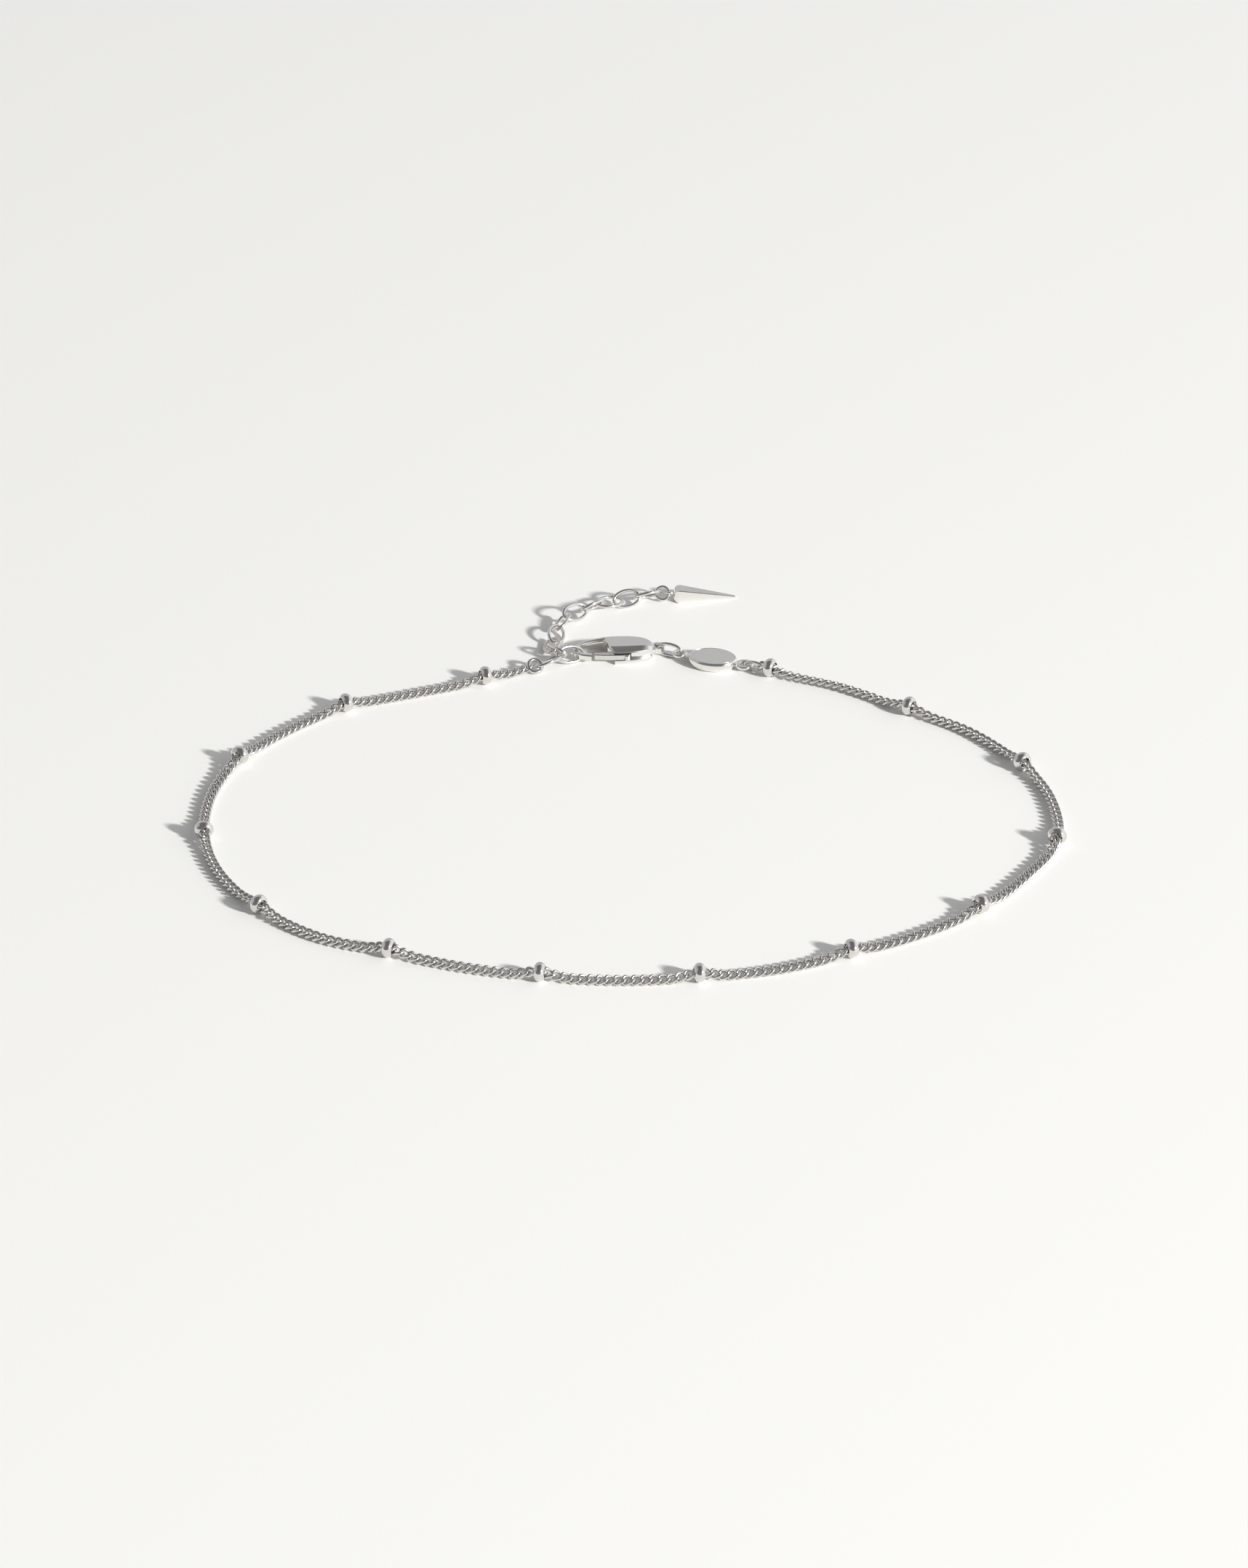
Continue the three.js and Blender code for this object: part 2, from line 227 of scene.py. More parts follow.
@dataclass(frozen=True)
class CardFinish:
    """Matt white card, which shows an even tone with a tooth too fine to see from here."""

    name: str = "matt_white_card"
    colour: str = "#f5f5f3"
    roughness: float = 0.85
    specular: float = 0.15
    tooth_mm: float = 0.6
    tooth_depth_mm: float = 0.004

    def material(self) -> bpy.types.Material:
        """Makes the procedural material.

        Returns:
            A matt white surface with a slight tooth.
        """
        material = bpy.data.materials.new(self.name)
        material.use_nodes = True
        tree = material.node_tree
        shader = tree.nodes["Principled BSDF"]
        place = add_node(tree, "ShaderNodeTexCoord").outputs["Object"]
        tooth = add_node(
            tree, "ShaderNodeTexNoise", {"Vector": place, "Scale": 1 / (self.tooth_mm * METRES_PER_MM)}
        )
        bump = add_node(
            tree,
            "ShaderNodeBump",
            {"Height": tooth.outputs["Fac"], "Distance": self.tooth_depth_mm * METRES_PER_MM},
        )
        shader.inputs["Base Color"].default_value = linear(self.colour)
        shader.inputs["Roughness"].default_value = self.roughness
        shader.inputs["Specular IOR Level"].default_value = self.specular
        tree.links.new(bump.outputs["Normal"], shader.inputs["Normal"])
        return material


# Curves and meshes


def through(points: Sequence[Sequence[float]], steps: int) -> np.ndarray:
    """Runs a centripetal Catmull-Rom curve through points of any number of coordinates.

    Args:
        points: the points, two or more.
        steps: how many pieces each span is cut into.

    Returns:
        One row for each point on the curve.
    """
    knots = np.asarray(points, float)
    first = 2 * knots[0] - knots[1]
    last = 2 * knots[-1] - knots[-2]
    padded = np.vstack([first, knots, last])
    times = np.concatenate([[0.0], np.cumsum(np.linalg.norm(np.diff(padded, axis=0), axis=1) ** 0.5)])
    curve = []
    for k in range(1, len(padded) - 2):
        t0, t1, t2, t3 = times[k - 1 : k + 3]
        p0, p1, p2, p3 = padded[k - 1 : k + 3]
        for t in np.linspace(t1, t2, steps, endpoint=False):
            a1 = (t1 - t) / (t1 - t0) * p0 + (t - t0) / (t1 - t0) * p1
            a2 = (t2 - t) / (t2 - t1) * p1 + (t - t1) / (t2 - t1) * p2
            a3 = (t3 - t) / (t3 - t2) * p2 + (t - t2) / (t3 - t2) * p3
            b1 = (t2 - t) / (t2 - t0) * a1 + (t - t0) / (t2 - t0) * a2
            b2 = (t3 - t) / (t3 - t1) * a2 + (t - t1) / (t3 - t1) * a3
            curve.append((t2 - t) / (t2 - t1) * b1 + (t - t1) / (t2 - t1) * b2)
    curve.append(knots[-1])
    return np.array(curve)


def ring_faces(rows: int, around: int, closed: bool) -> list[tuple[int, int, int, int]]:
    """Lists the four-sided faces between rows of points.

    Args:
        rows: how many rows there are.
        around: how many points each row has.
        closed: whether the last row joins the first.

    Returns:
        The corner numbers of each face, facing out where the points turn left about the way forward.
    """
    faces = []
    for row in range(rows if closed else rows - 1):
        here = row * around
        there = ((row + 1) % rows) * around
        for k in range(around):
            after = (k + 1) % around
            faces.append((here + k, here + after, there + after, there + k))
    return faces


def mesh_object(
    name: str, points: Iterable[Sequence[float]], faces: Iterable[Sequence[int]]
) -> bpy.types.Object:
    """Makes a mesh object from points on the sheet, in millimetres.

    Args:
        name: the object's name.
        points: the corner points.
        faces: the corner numbers of each face.

    Returns:
        The object, linked to the scene.
    """
    mesh = bpy.data.meshes.new(name)
    mesh.from_pydata([tuple(map(float, p)) for p in points], [], [tuple(map(int, f)) for f in faces])
    mesh.validate()
    piece = bpy.data.objects.new(name, mesh)
    bpy.context.scene.collection.objects.link(piece)
    return piece


def loft(name: str, outlines: Sequence[Sequence[Sequence[float]]]) -> bpy.types.Object:
    """Makes a closed solid through a row of outlines with the same number of points each.

    Args:
        name: the object's name.
        outlines: the rows of points.

    Returns:
        The solid, with a flat face at either end.
    """
    around = len(outlines[0])
    faces: list[tuple[int, ...]] = list(ring_faces(len(outlines), around, closed=False))
    last = (len(outlines) - 1) * around
    faces.append(tuple(reversed(range(around))))
    faces.append(tuple(range(last, last + around)))
    return mesh_object(name, [p for outline in outlines for p in outline], faces)


def prism(name: str, outline: Sequence[Sequence[float]], low: float, high: float) -> bpy.types.Object:
    """Draws an outline in the plan up from one height to another.

    Args:
        name: the object's name.
        outline: the plan's points, anticlockwise or clockwise.
        low: the lower height.
        high: the upper height.

    Returns:
        The solid.
    """
    area = sum(a[0] * b[1] - b[0] * a[1] for a, b in zip(outline, [*outline[1:], outline[0]]))
    plan = list(outline) if area > 0 else list(reversed(outline))
    return loft(name, [[(u, v, low) for u, v in plan], [(u, v, high) for u, v in plan]])


def circle(u: float, v: float, radius: float, sides: int = 40) -> list[tuple[float, float]]:
    """Lists the points of a circle in the plan."""
    turns = [2 * math.pi * k / sides for k in range(sides)]
    return [(u + radius * math.cos(t), v + radius * math.sin(t)) for t in turns]


def lathe(name: str, profile: Sequence[Sequence[float]], sides: int, closed: bool) -> bpy.types.Object:
    """Turns a profile of radius and height about the Z axis.

    Args:
        name: the object's name.
        profile: the points, from low to high on the outside.
        sides: how many sides the turned form has.
        closed: whether the profile closes on itself. If not, it starts and ends on the axis.

    Returns:
        The turned solid.
    """
    rim = list(profile) if closed else list(profile)[1:-1]
    turns = [2 * math.pi * k / sides for k in range(sides)]
    points = [(r * math.cos(t), r * math.sin(t), z) for r, z in rim for t in turns]
    faces: list[tuple[int, ...]] = list(ring_faces(len(rim), sides, closed))
    if not closed:
        faces.append(tuple(reversed(range(sides))))
        faces.append(tuple(range((len(rim) - 1) * sides, len(rim) * sides)))
    return mesh_object(name, points, faces)


def wire_points(centre: np.ndarray, outward: np.ndarray, radius: float, sides: int) -> np.ndarray:
    """Puts a round wire on a closed line.

    Args:
        centre: the points of the wire's middle line.
        outward: at each point, a way across the wire.
        radius: the wire's radius.
        sides: how many sides the wire has.

    Returns:
        The points of the wire's surface, row by row.
    """
    along = np.roll(centre, -1, axis=0) - np.roll(centre, 1, axis=0)
    along /= np.linalg.norm(along, axis=1, keepdims=True)
    across = outward - along * np.sum(outward * along, axis=1, keepdims=True)
    across /= np.linalg.norm(across, axis=1, keepdims=True)
    up = np.cross(along, across)
    turn = 2 * np.pi * np.arange(sides) / sides
    rim = across[:, None] * np.cos(turn)[None, :, None] + up[:, None] * np.sin(turn)[None, :, None]
    return (centre[:, None] + radius * rim).reshape(-1, 3)


def apply_modifiers(piece: bpy.types.Object) -> None:
    """Bakes an object's modifiers into its mesh.

    Args:
        piece: the object, which gets the new mesh and keeps no modifier.
    """
    depsgraph = bpy.context.evaluated_depsgraph_get()
    made = bpy.data.meshes.new_from_object(piece.evaluated_get(depsgraph))
    piece.modifiers.clear()
    piece.data = made


def combine(piece: bpy.types.Object, operation: str, *tools: bpy.types.Object) -> bpy.types.Object:
    """Joins solids to a piece, or cuts them from it, and deletes them.

    Args:
        piece: the solid that stays.
        operation: "UNION" or "DIFFERENCE".
        *tools: the other solids.

    Returns:
        The piece.
    """
    for tool in tools:
        modifier = piece.modifiers.new("combine", "BOOLEAN")
        modifier.operation = operation
        modifier.solver = "EXACT"
        modifier.object = tool
        apply_modifiers(piece)
        bpy.data.objects.remove(tool, do_unlink=True)
    return piece


def soften(piece: bpy.types.Object, width: float, angle_deg: float = 32.0, segments: int = 2) -> None:
    """Rounds a solid's sharp edges.

    Args:
        piece: the solid.
        width: the width of the rounding, in sheet millimetres.
        angle_deg: the least angle between two faces that counts as an edge.
        segments: how many strips make the rounding.
    """
    modifier = piece.modifiers.new("soften", "BEVEL")
    modifier.width = width
    modifier.segments = segments
    modifier.limit_method = "ANGLE"
    modifier.angle_limit = math.radians(angle_deg)
    modifier.use_clamp_overlap = True
    modifier.harden_normals = False
    apply_modifiers(piece)


def shade(piece: bpy.types.Object, angle_deg: float) -> None:
    """Shades a piece smooth, but for its sharp edges.

    Args:
        piece: the piece.
        angle_deg: the least angle between two faces that counts as a sharp edge.
    """
    mesh = piece.data
    mesh.shade_smooth()
    mesh.set_sharp_from_angle(angle=math.radians(angle_deg))


def place_on_sheet(piece: bpy.types.Object, x: float, y: float, z: float, turn: Euler) -> None:
    """Turns a piece about its own zero and moves it to its place on the sheet."""
    piece.data.transform(Matrix.Translation((x, y, z)) @ turn.to_matrix().to_4x4())


def finish_piece(
    piece: bpy.types.Object, material: bpy.types.Material, body: str, slot: Slot, *nodes: str
) -> bpy.types.Object:
    """Moves a piece from the sheet to the frame, dresses it and hides the plain solids that it replaces.

    Args:
        piece: the piece, in sheet millimetres.
        material: its finish.
        body: the moving body that it rides on.
        slot: the record's slot for the piece's finish. It is not used.
        *nodes: the plain solids that it replaces.

    Returns:
        The piece, in metres.
    """
    shift = Matrix.Translation(Vector(SHEET_SHIFT_MM) * METRES_PER_MM)
    piece.data.transform(shift @ Matrix.Scale(METRES_PER_MM, 4))
    piece.data.materials.clear()
    piece.data.materials.append(material)
    piece.data.update()
    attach(piece, body)
    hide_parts(*nodes)
    LOG.info("%s: %d faces", piece.name, len(piece.data.polygons))
    return piece


# The anklet's pieces


@dataclass(frozen=True)
class ChainEnd:
    """The middle of the chain's last link on one side, and how far that link is rolled over."""

    x: float
    y: float
    z: float
    roll_deg: float


@dataclass(frozen=True)
class BeadPlace:
    """A bead's middle, the middle of the span of chain after it, and the chain's roll at both."""

    x: float
    y: float
    roll_deg: float
    span_x: float | None = None
    span_y: float | None = None
    span_roll_deg: float = 0.0


BEAD_PLACES = (
    BeadPlace(-14.6, 20.85, 0, -22.05, 18.0, 0),
    BeadPlace(-29.1, 15.1, 0, -34.9, 10.35, 0),
    BeadPlace(-39.75, 4.15, 0, -42.2, -2.2, 0),
    BeadPlace(-42.7, -10.85, 0, -40.8, -18.5, 0),
    BeadPlace(-36.5, -25.3, 5, -30.45, -30.7, 10),
    BeadPlace(-23.3, -33.6, 12, -15.95, -36.4, 12),
    BeadPlace(-8.3, -38.1, 12, -0.45, -38.85, 12),
    BeadPlace(7.45, -38.25, 12, 15.15, -36.75, 8),
    BeadPlace(22.5, -33.75, 5, 29.4, -30.15, 0),
    BeadPlace(35.65, -25.3, 0, 40.65, -18.8, 0),
    BeadPlace(43.95, -12.1, 0, 43.65, -3.55, 5),
    BeadPlace(41.1, 2.95, 10, 36.0, 9.9, 0),
    BeadPlace(29.8, 14.45, 8, 22.8, 19.3, 32),
    BeadPlace(15.4, 22.55, 16),
)


@dataclass
class CurbChain:
    """The ankle chain: twisted curb links of fine round wire, each through the next."""

    material: bpy.types.Material
    wire_mm: float = 0.33
    link_length_mm: float = 1.54
    link_width_mm: float = 1.2
    twist_mm: float = -0.24
    pitch_mm: float = 0.875
    bead_height_mm: float = 1.0
    sag_height_mm: float = 0.43
    climb_mm: float = 1.9
    around: int = 24
    wire_sides: int = 8
    span_steps: int = 24
    reach_mm: float = 0.25
    left_end: ChainEnd = ChainEnd(-10.2, 23.3, 0.52, 12)
    right_end: ChainEnd = ChainEnd(14.75, 23.03, 0.84, 0)

    def route(self) -> list[tuple[float, float, float]]:
        """Lists the points that the chain passes.

        Returns:
            The x, the y and the roll in degrees of each point.
        """
        points = [(self.left_end.x, self.left_end.y, self.left_end.roll_deg)]
        for place in BEAD_PLACES:
            points.append((place.x, place.y, place.roll_deg))
            if place.span_x is not None and place.span_y is not None:
                points.append((place.span_x, place.span_y, place.span_roll_deg))
        points.append((self.right_end.x, self.right_end.y, self.right_end.roll_deg))
        return points

    def curve(self) -> np.ndarray:
        """Runs the smooth line through the route, which climbs only close to a bead or an end.

        Returns:
            The x, the y and the z of each point. Every span of the route has span_steps of them.
        """
        plan = through([(x, y) for x, y, _ in self.route()], self.span_steps)
        held = [(place.x, place.y, self.bead_height_mm) for place in BEAD_PLACES]
        held += [(end.x, end.y, end.z) for end in (self.left_end, self.right_end)]
        holds = np.array(held)
        away = np.linalg.norm(plan[:, None] - holds[None, :, :2], axis=2)
        lift = (holds[:, 2] - self.sag_height_mm) * np.exp(-((away / self.climb_mm) ** 2))
        return np.column_stack([plan, self.sag_height_mm + lift.max(axis=1)])

    def link_points(self) -> np.ndarray:
        """Shapes one link about its own middle.

        Returns:
            The wire's surface points. The link's length is along x and its wide face looks along z.
        """
        turn = 2 * np.pi * np.arange(self.around) / self.around
        half_length = (self.link_length_mm - self.wire_mm) / 2
        half_width = (self.link_width_mm - self.wire_mm) / 2
        centre = np.stack(
            [half_length * np.cos(turn), half_width * np.sin(turn), self.twist_mm * np.sin(2 * turn)], axis=1
        )
        outward = np.stack([half_width * np.cos(turn), half_length * np.sin(turn), 0 * turn], axis=1)
        return wire_points(centre, outward, self.wire_mm / 2, self.wire_sides)

    def stations(self) -> tuple[np.ndarray, np.ndarray, np.ndarray]:
        """Spaces the links evenly along the route.

        Returns:
            The middle, the way forward and the roll in radians of each link. The way forward is the
            line from reach_mm behind the link to reach_mm ahead of it.
        """
        curve = self.curve()
        rolls = np.radians([roll for _, _, roll in self.route()])
        distance = np.concatenate([[0.0], np.cumsum(np.linalg.norm(np.diff(curve, axis=0), axis=1))])
        count = round(distance[-1] / self.pitch_mm) + 1
        where = np.linspace(0, distance[-1], count)
        middle, ahead, behind = (
            np.stack([np.interp(where + offset, distance, curve[:, k]) for k in range(3)], axis=1)
            for offset in (0.0, self.reach_mm, -self.reach_mm)
        )
        along = ahead - behind
        along /= np.linalg.norm(along, axis=1, keepdims=True)
        roll = np.interp(where, distance[:: self.span_steps], rolls)
        return middle, along, roll

    def build(self) -> bpy.types.Object:
        """Lays all the links along the route as one mesh, and none of them below the surface.

        Returns:
            The chain.
        """
        link = self.link_points()
        one = ring_faces(self.around, self.wire_sides, closed=True)
        points = []
        faces = []
        for number, (middle, along, roll) in enumerate(zip(*self.stations())):
            side = np.cross((0.0, 0.0, 1.0), along)
            side /= np.linalg.norm(side)
            up = np.cross(along, side)
            wide = side * math.cos(roll) + up * math.sin(roll)
            face = np.cross(along, wide)
            laid = middle + link @ np.stack([along, wide, face])
            laid[:, 2] += max(0.0, -laid[:, 2].min())
            points.append(laid)
            faces.extend(tuple(corner + number * len(link) for corner in f) for f in one)
        chain = mesh_object("curb_chain_links", np.vstack(points), faces)
        shade(chain, angle_deg=180.0)
        return finish_piece(chain, self.material, ANKLET_BODY, Slot.CHAIN, "curb_chain")


@dataclass
class Beads:
    """Fourteen turned silver rondelles with rounded edges, threaded on the chain."""

    material: bpy.types.Material
    chain: CurbChain
    diameter_mm: float = 2.0
    width_mm: float = 1.2
    bore_mm: float = 1.24
    core_mm: float = 0.4
    lip_mm: float = 0.02
    chamfer_mm: float = 0.03
    bands: int = 9
    sides: int = 64

    def profile(self) -> list[tuple[float, float]]:
        """Draws the section: a bore and a full round outside, part of an ellipse.

        Returns:
            The points of radius and height.
        """
        bore = self.bore_mm / 2
        swell = self.diameter_mm / 2 - self.core_mm
        steepest = math.acos((bore + self.lip_mm - self.core_mm) / swell)
        turns = [steepest * k / self.bands for k in range(-self.bands, self.bands + 1)]
        outside = [(self.core_mm + swell * math.cos(t), self.width_mm / 2 * math.sin(t)) for t in turns]
        low, high = outside[0][1], outside[-1][1]
        return [(bore, low + self.chamfer_mm), *outside, (bore, high - self.chamfer_mm)]

    def build(self) -> list[bpy.types.Object]:
        """Turns each bead and stands it across the chain.

        Returns:
            The beads.
        """
        curve = self.chain.curve()
        beads = []
        for number, place in enumerate(BEAD_PLACES):
            at = self.chain.span_steps * (2 * number + 1)
            along = curve[at + 1] - curve[at - 1]
            name = f"bead_{number + 1:02d}"
            bead = lathe(f"{name}_turned", self.profile(), self.sides, closed=True)
            bead.data.transform(Matrix.Rotation(math.pi / 2, 4, "Y"))
            heading = Euler((0, 0, math.atan2(along[1], along[0])))
            place_on_sheet(bead, place.x, place.y, self.diameter_mm / 2, heading)
            shade(bead, angle_deg=50.0)
            beads.append(finish_piece(bead, self.material, ANKLET_BODY, Slot.POLISHED, name))
        return beads


@dataclass(frozen=True)
class WireSize:
    """A link's length and width on the wire's middle line, and the wire's radius."""

    length: float
    width: float
    radius: float


class LinkSize(Enum):
    """The sizes of the round wire links."""

    OVAL = WireSize(2.9, 1.72, 0.18)
    LONG_OVAL = WireSize(3.1, 1.72, 0.18)
    END_RING = WireSize(1.46, 1.46, 0.22)
    PENDANT_RING = WireSize(1.42, 1.42, 0.16)
    CLASP_LINK = WireSize(2.75, 1.35, 0.18)
    TAG_LINK = WireSize(1.98, 0.85, 0.16)


@dataclass(frozen=True)
class LinkPlace:
    """Where a link lies: its middle, its heading, how far that end rises, and its roll, in degrees."""

    name: str
    size: LinkSize
    x: float
    y: float
    z: float
    heading: float
    rise: float
    roll: float


LINK_PLACES = (
    LinkPlace("end_ring", LinkSize.END_RING, -9.38, 23.42, 0.7, 10, -10, 35),
    LinkPlace("chain_end_link", LinkSize.LONG_OVAL, -7.9, 24.28, 0.78, 36, 5, -27),
    LinkPlace("hooked_link", LinkSize.OVAL, -5.7, 25.55, 0.89, 24, -5, 54),
    LinkPlace("extender_link_01", LinkSize.OVAL, -7.05, 26.05, 1.1, 124, -12, 48),
    LinkPlace("extender_link_02", LinkSize.OVAL, -7.65, 28.0, 0.6, 90, -2, -24),
    LinkPlace("extender_link_03", LinkSize.OVAL, -7.2, 30.2, 0.7, 78, 7, 32),
    LinkPlace("extender_link_04", LinkSize.OVAL, -6.65, 32.5, 0.92, 72, 5, -36),
    LinkPlace("extender_link_05", LinkSize.OVAL, -5.25, 34.35, 1.12, 36, -3, 48),
    LinkPlace("extender_link_06", LinkSize.OVAL, -3.3, 35.8, 1.1, 37, 2, -50),
    LinkPlace("extender_link_07", LinkSize.OVAL, -1.55, 36.95, 0.93, 24, -5, 8),
    LinkPlace("extender_link_08", LinkSize.OVAL, 0.3, 37.7, 0.91, 20, 4, 56),
    LinkPlace("extender_link_09", LinkSize.OVAL, 2.55, 38.5, 0.94, 20, 0, -42),
    LinkPlace("pendant_jump_ring", LinkSize.PENDANT_RING, 4.15, 38.95, 0.87, 5, 0, 50),
    LinkPlace("clasp_link", LinkSize.CLASP_LINK, 4.78, 26.6, 0.87, -20, 0, 90),
    LinkPlace("tag_link", LinkSize.TAG_LINK, 13.69, 23.6, 0.62, -26, 6, 90),
)


@dataclass
class WireLinks:
    """The end ring, the oval extender links, and the links at the clasp, the tag and the pendant."""

    material: bpy.types.Material
    around: int = 64
    wire_sides: int = 16

    def link(self, name: str, size: WireSize) -> bpy.types.Object:
        """Bends one round wire into a soldered oval that lies in the plan.

        Args:
            name: the object's name.
            size: the oval's length, width and wire.

        Returns:
            The link, about its own middle.
        """
        turn = 2 * np.pi * np.arange(self.around) / self.around
        centre = np.stack([size.length / 2 * np.cos(turn), size.width / 2 * np.sin(turn), 0 * turn], axis=1)
        outward = np.stack([size.width * np.cos(turn), size.length * np.sin(turn), 0 * turn], axis=1)
        points = wire_points(centre, outward, size.radius, self.wire_sides)
        return mesh_object(name, points, ring_faces(self.around, self.wire_sides, closed=True))

    def build(self) -> list[bpy.types.Object]:
        """Bends and lays every link.

        Returns:
            The links.
        """
        links = []
        for place in LINK_PLACES:
            link = self.link(f"{place.name}_wire", place.size.value)
            turn = Euler((math.radians(place.roll), -math.radians(place.rise), math.radians(place.heading)))
            place_on_sheet(link, place.x, place.y, place.z, turn)
            shade(link, angle_deg=180.0)
            links.append(finish_piece(link, self.material, ANKLET_BODY, Slot.POLISHED, place.name))
        return links


@dataclass(frozen=True)
class ClaspSection:
    """A cut across the clasp's shell at u, with its half width, its heights and its flat top."""

    u: float
    half: float
    bottom: float
    rim: float
    top: float
    flat_near: float
    flat_far: float


@dataclass(frozen=True)
class HookSection:
    """A cut across the clasp's hook: its middle, its width in the plan, and its heights."""

    u: float
    v: float
    width: float
    bottom: float
    top: float


@dataclass
class LobsterClasp:
    """A cast lobster clasp: a domed shell with a hook and an eye, and a lever between its two plates."""

    material: bpy.types.Material
    lever_material: bpy.types.Material
    x: float = -0.65
    y: float = 26.72
    heading_deg: float = 3.0
    skin: float = 0.1
    plate: float = 0.35
    far_lean: float = 0.16
    near_lean: float = 0.3
    loft_steps: int = 5
    sections: tuple[ClaspSection, ...] = (
        ClaspSection(-2.2, 1.7, 0.0, 1.42, 1.68, 0.62, 1.05),
        ClaspSection(-1.0, 1.86, 0.0, 1.43, 1.7, 0.8, 1.25),
        ClaspSection(0.6, 1.9, 0.0, 1.43, 1.7, 0.82, 1.3),
        ClaspSection(1.9, 1.77, 0.0, 1.41, 1.68, 0.76, 1.18),
        ClaspSection(2.9, 1.5, 0.05, 1.34, 1.58, 0.62, 0.95),
        ClaspSection(3.5, 1.15, 0.25, 1.2, 1.36, 0.45, 0.7),
        ClaspSection(3.85, 0.72, 0.5, 1.04, 1.14, 0.35, 0.45),
    )
    hook: tuple[HookSection, ...] = (
        HookSection(-0.6, 1.5, 0.6, 0.1, 1.44),
        HookSection(-1.6, 1.48, 0.62, 0.12, 1.42),
        HookSection(-2.6, 1.3, 0.6, 0.18, 1.38),
        HookSection(-3.6, 0.95, 0.58, 0.28, 1.3),
        HookSection(-4.3, 0.42, 0.56, 0.4, 1.2),
        HookSection(-4.55, -0.25, 0.56, 0.5, 1.15),
        HookSection(-4.32, -0.82, 0.56, 0.5, 1.15),
        HookSection(-3.7, -1.25, 0.64, 0.46, 1.16),
        HookSection(-2.8, -1.5, 0.66, 0.42, 1.18),
    )
    hook_sides: int = 20
    hook_squareness: float = 0.6
    claw: tuple[tuple[float, float], ...] = (
        (-1.9, 2.6),
        (-1.75, 1.75),
        (-1.5, 1.15),
        (-1.22, 0.7),
        (-1.1, 0.2),
        (-1.07, -0.3),
        (-0.87, -0.8),
        (-0.5, -1.45),
        (-0.3, -2.6),
    )
    claw_end: float = -6.0
    claw_steps: int = 4
    lever_slot: tuple[tuple[float, float], ...] = (
        (1.37, -3.0),
        (1.37, -0.95),
        (1.12, -0.68),
        (0.5, -0.68),
        (-1.3, 0.05),
        (-3.0, 0.6),
        (-3.0, -3.0),
    )
    tail_recess: tuple[tuple[float, float], ...] = (
        (1.3, -3.0),
        (1.3, -1.4),
        (2.1, -1.34),
        (2.9, -1.12),
        (3.4, -0.85),
        (3.9, -0.75),
        (4.4, -3.0),
    )
    slot_low: float = 0.49
    slot_high: float = 1.25
    lever_outline: tuple[tuple[float, float], ...] = (
        (-2.55, -1.66),
        (-1.7, -1.78),
        (-0.8, -1.85),
        (0.6, -1.87),
        (0.72, -2.14),
        (1.0, -2.16),
        (1.2, -1.7),
        (1.27, -1.3),
        (1.14, -0.98),
        (0.9, -0.82),
        (0.6, -0.82),
        (0.3, -0.96),
        (-1.0, -1.16),
        (-2.55, -1.14),
    )
    lever_bottom: float = 0.56
    lever_top: float = 1.18
    pivot: tuple[float, float] = (0.75, -1.32)
    boss_radius: float = 0.15
    boss_root: float = 0.1
    boss_head: float = 0.05
    bore_radius: float = 0.25
    eye: tuple[float, float] = (4.25, 0.1)
    eye_outer: float = 0.75
    eye_hole: float = 0.42
    eye_bottom: float = 0.52
    eye_top: float = 1.12
    body_edge: float = 0.05
    lever_edge: float = 0.07

    def shell_outline(self, row: Sequence[float]) -> list[tuple[float, float, float]]:
        """Draws one cut across the shell: a flat base, leaning sides, and bevels up to the flat top.

        Args:
            row: the numbers of a ClaspSection.

        Returns:
            The cut's points.
        """
        u, half, bottom, rim, top, near, far = row
        return [
            (u, half - self.skin, bottom),
            (u, half, bottom + self.skin),
            (u, half, bottom + self.plate),
            (u, half - self.far_lean, rim),
            (u, far, top),
            (u, -near, top),
            (u, -half + self.near_lean, rim),
            (u, -half, bottom + self.plate),
            (u, -half, bottom + self.skin),
            (u, -half + self.skin, bottom),
        ]

    def shell(self) -> bpy.types.Object:
        """Lofts the domed shell, before anything is cut from it."""
        rows = through([astuple(section) for section in self.sections], self.loft_steps)
        return loft("clasp_body_cast", [self.shell_outline(row) for row in rows])

    def hook_outline(self, row: Sequence[float], along: np.ndarray) -> list[tuple[float, float, float]]:
        """Draws one cut across the hook, a square with very round corners.

        Args:
            row: the numbers of a HookSection.
            along: the way that the hook runs there, in the plan.

        Returns:
            The cut's points.
        """
        u, v, width, bottom, top = row
        middle = (bottom + top) / 2
        outline = []
        for k in range(self.hook_sides):
            turn = 2 * math.pi * (k + 0.5) / self.hook_sides
            across, rise = (
                math.copysign(abs(part) ** self.hook_squareness, part)
                for part in (math.cos(turn), math.sin(turn))
            )
            side = width / 2 * across
            up = (top - bottom) / 2 * rise
            outline.append((u - side * along[1], v + side * along[0], middle + up))
        return outline

    def hook_arm(self) -> bpy.types.Object:
        """Lofts the far arm and the hook as one rounded bar.

        Returns:
            The bar, cut off square at its tip.
        """
        rows = through([astuple(section) for section in self.hook], self.loft_steps)
        along = np.gradient(rows[:, :2], axis=0)
        along /= np.linalg.norm(along, axis=1, keepdims=True)
        return loft("clasp_hook", [self.hook_outline(row, way) for row, way in zip(rows, along)])

    def claw_outline(self) -> list[tuple[float, float]]:
        """Draws what the claw's mouth takes away: all of the shell to the left of a smooth edge."""
        edge = through(self.claw, self.claw_steps)
        return [(u, v) for u, v in edge] + [(self.claw_end, edge[-1][1]), (self.claw_end, edge[0][1])]

